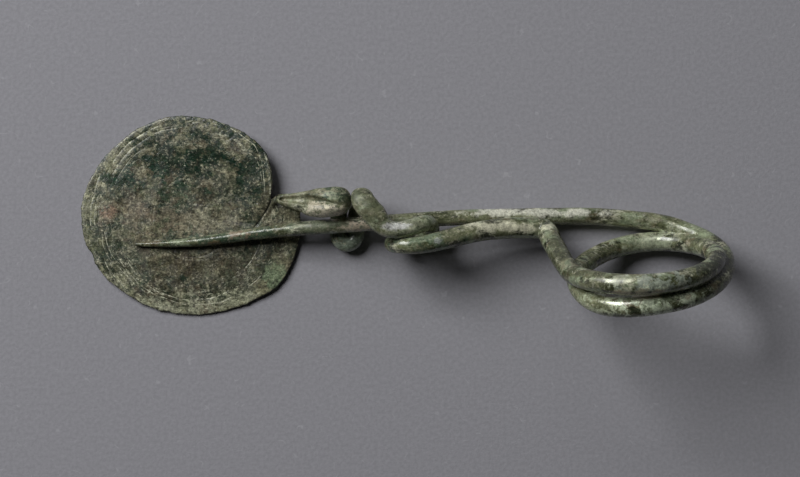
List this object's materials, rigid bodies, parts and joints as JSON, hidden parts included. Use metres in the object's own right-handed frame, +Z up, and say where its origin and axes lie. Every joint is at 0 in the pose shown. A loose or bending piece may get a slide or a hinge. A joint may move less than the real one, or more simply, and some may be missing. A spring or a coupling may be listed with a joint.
{
  "type": "serpentine fibula brooch",
  "caption": "Ancient bronze serpentine fibula, wrought from one bar: pin, large spring coil, bow with two twisted loops, rolled catch and a hammered spiral disc foot, lying on its side.",
  "frame": {"origin": "bottom centre of the brooch's bounding box, on the surface that it lies on", "axes": "+X along the pin from the disc to the spring coil, +Z up from the surface that it lies on"},
  "size_m": [0.1578, 0.0486, 0.0392],
  "materials": {
    "bronze": "patinated"
  },
  "bodies": {
    "root": {"fibula": "bronze"}
  },
  "joints": []
}
